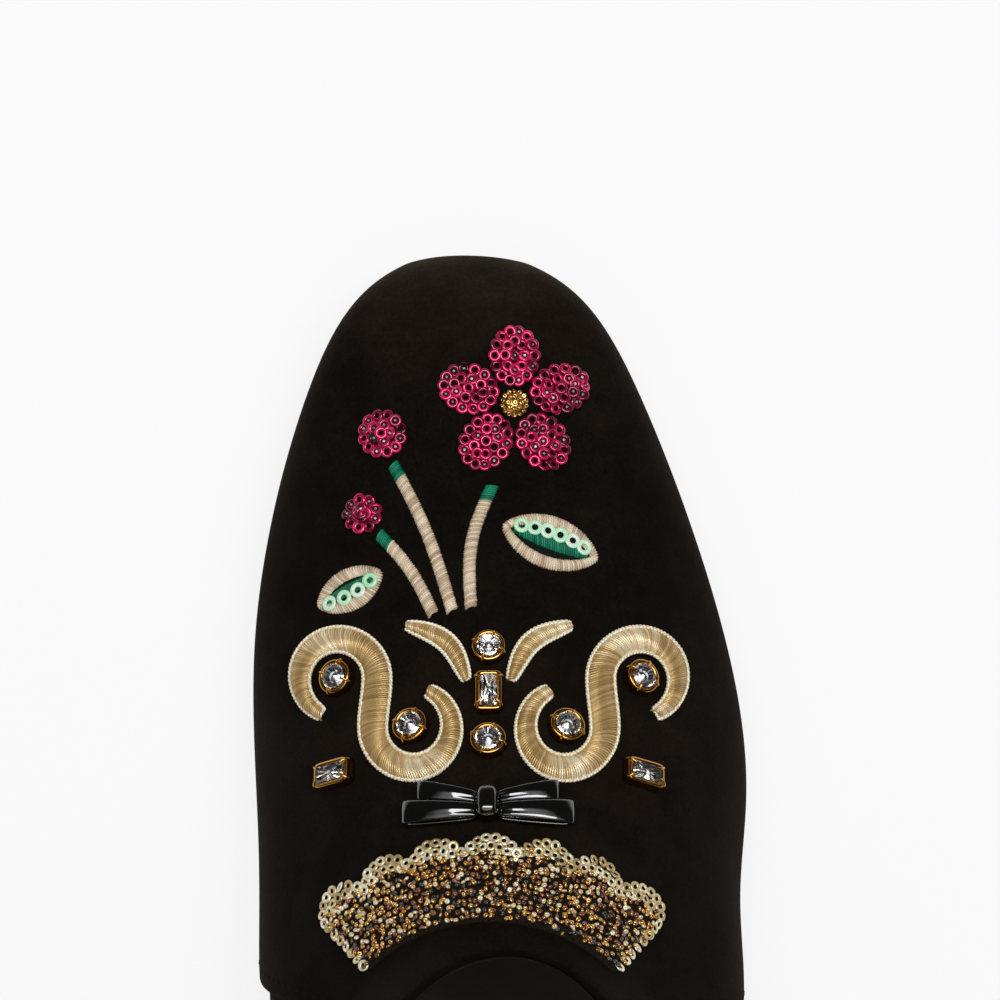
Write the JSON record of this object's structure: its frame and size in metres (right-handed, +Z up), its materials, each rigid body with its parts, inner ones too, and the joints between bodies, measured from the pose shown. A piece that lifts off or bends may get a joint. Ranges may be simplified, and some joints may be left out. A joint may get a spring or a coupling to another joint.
{
  "type": "ankle boot",
  "caption": "Low slip-on ankle boot of black suede with a dipped collar, low block heel and a vamp trimmed with a sequin blossom, scrolls, crystals, a patent bow and beadwork.",
  "frame": {"origin": "on the floor, in the middle of the boot's width and length", "axes": "+Y towards the toe, +X towards the lateral side, +Z up"},
  "size_m": [0.0903, 0.2503, 0.122],
  "materials": {
    "black_suede": "napped suede",
    "sole_rubber": "matt",
    "black_lining": "matt lining",
    "crimson_sequin": "ring sequins",
    "gold_bead": "polished bead",
    "taupe_thread": "thread",
    "mint_sequin": "ring sequins",
    "gold_thread": "satin stitch",
    "crystal_glass": "cut and polished",
    "cup_metal": "polished",
    "black_patent": "high gloss patent",
    "bronze_beads": "seed beads"
  },
  "bodies": {
    "root": {"upper": "black_suede", "outsole": "sole_rubber", "heel": "sole_rubber", "insole": "black_lining", "blossom_petal_1": "crimson_sequin", "blossom_petal_2": "crimson_sequin", "blossom_petal_3": "crimson_sequin", "blossom_petal_4": "crimson_sequin", "blossom_petal_5": "crimson_sequin", "blossom_heart": "gold_bead", "bud_1": "crimson_sequin", "bud_2": "crimson_sequin", "stem_1": "taupe_thread", "stem_2": "taupe_thread", "stem_3": "taupe_thread", "leaf_1": "mint_sequin", "leaf_2": "mint_sequin", "scroll_lateral": "gold_thread", "scroll_medial": "gold_thread", "leaflet_lateral": "gold_thread", "leaflet_medial": "gold_thread", "crystal_cup_1": "cup_metal", "crystal_cup_2": "cup_metal", "crystal_cup_3": "cup_metal", "crystal_cup_4": "cup_metal", "crystal_cup_5": "cup_metal", "crystal_cup_6": "cup_metal", "crystal_cup_7": "cup_metal", "crystal_cup_8": "cup_metal", "crystal_cup_9": "cup_metal", "crystal_1": "crystal_glass", "crystal_2": "crystal_glass", "crystal_3": "crystal_glass", "crystal_4": "crystal_glass", "crystal_5": "crystal_glass", "crystal_6": "crystal_glass", "crystal_7": "crystal_glass", "crystal_8": "crystal_glass", "crystal_9": "crystal_glass", "bow_loop_1": "black_patent", "bow_loop_2": "black_patent", "bow_loop_3": "black_patent", "bow_loop_4": "black_patent", "bow_knot": "black_patent", "bead_fan": "bronze_beads"}
  },
  "joints": []
}
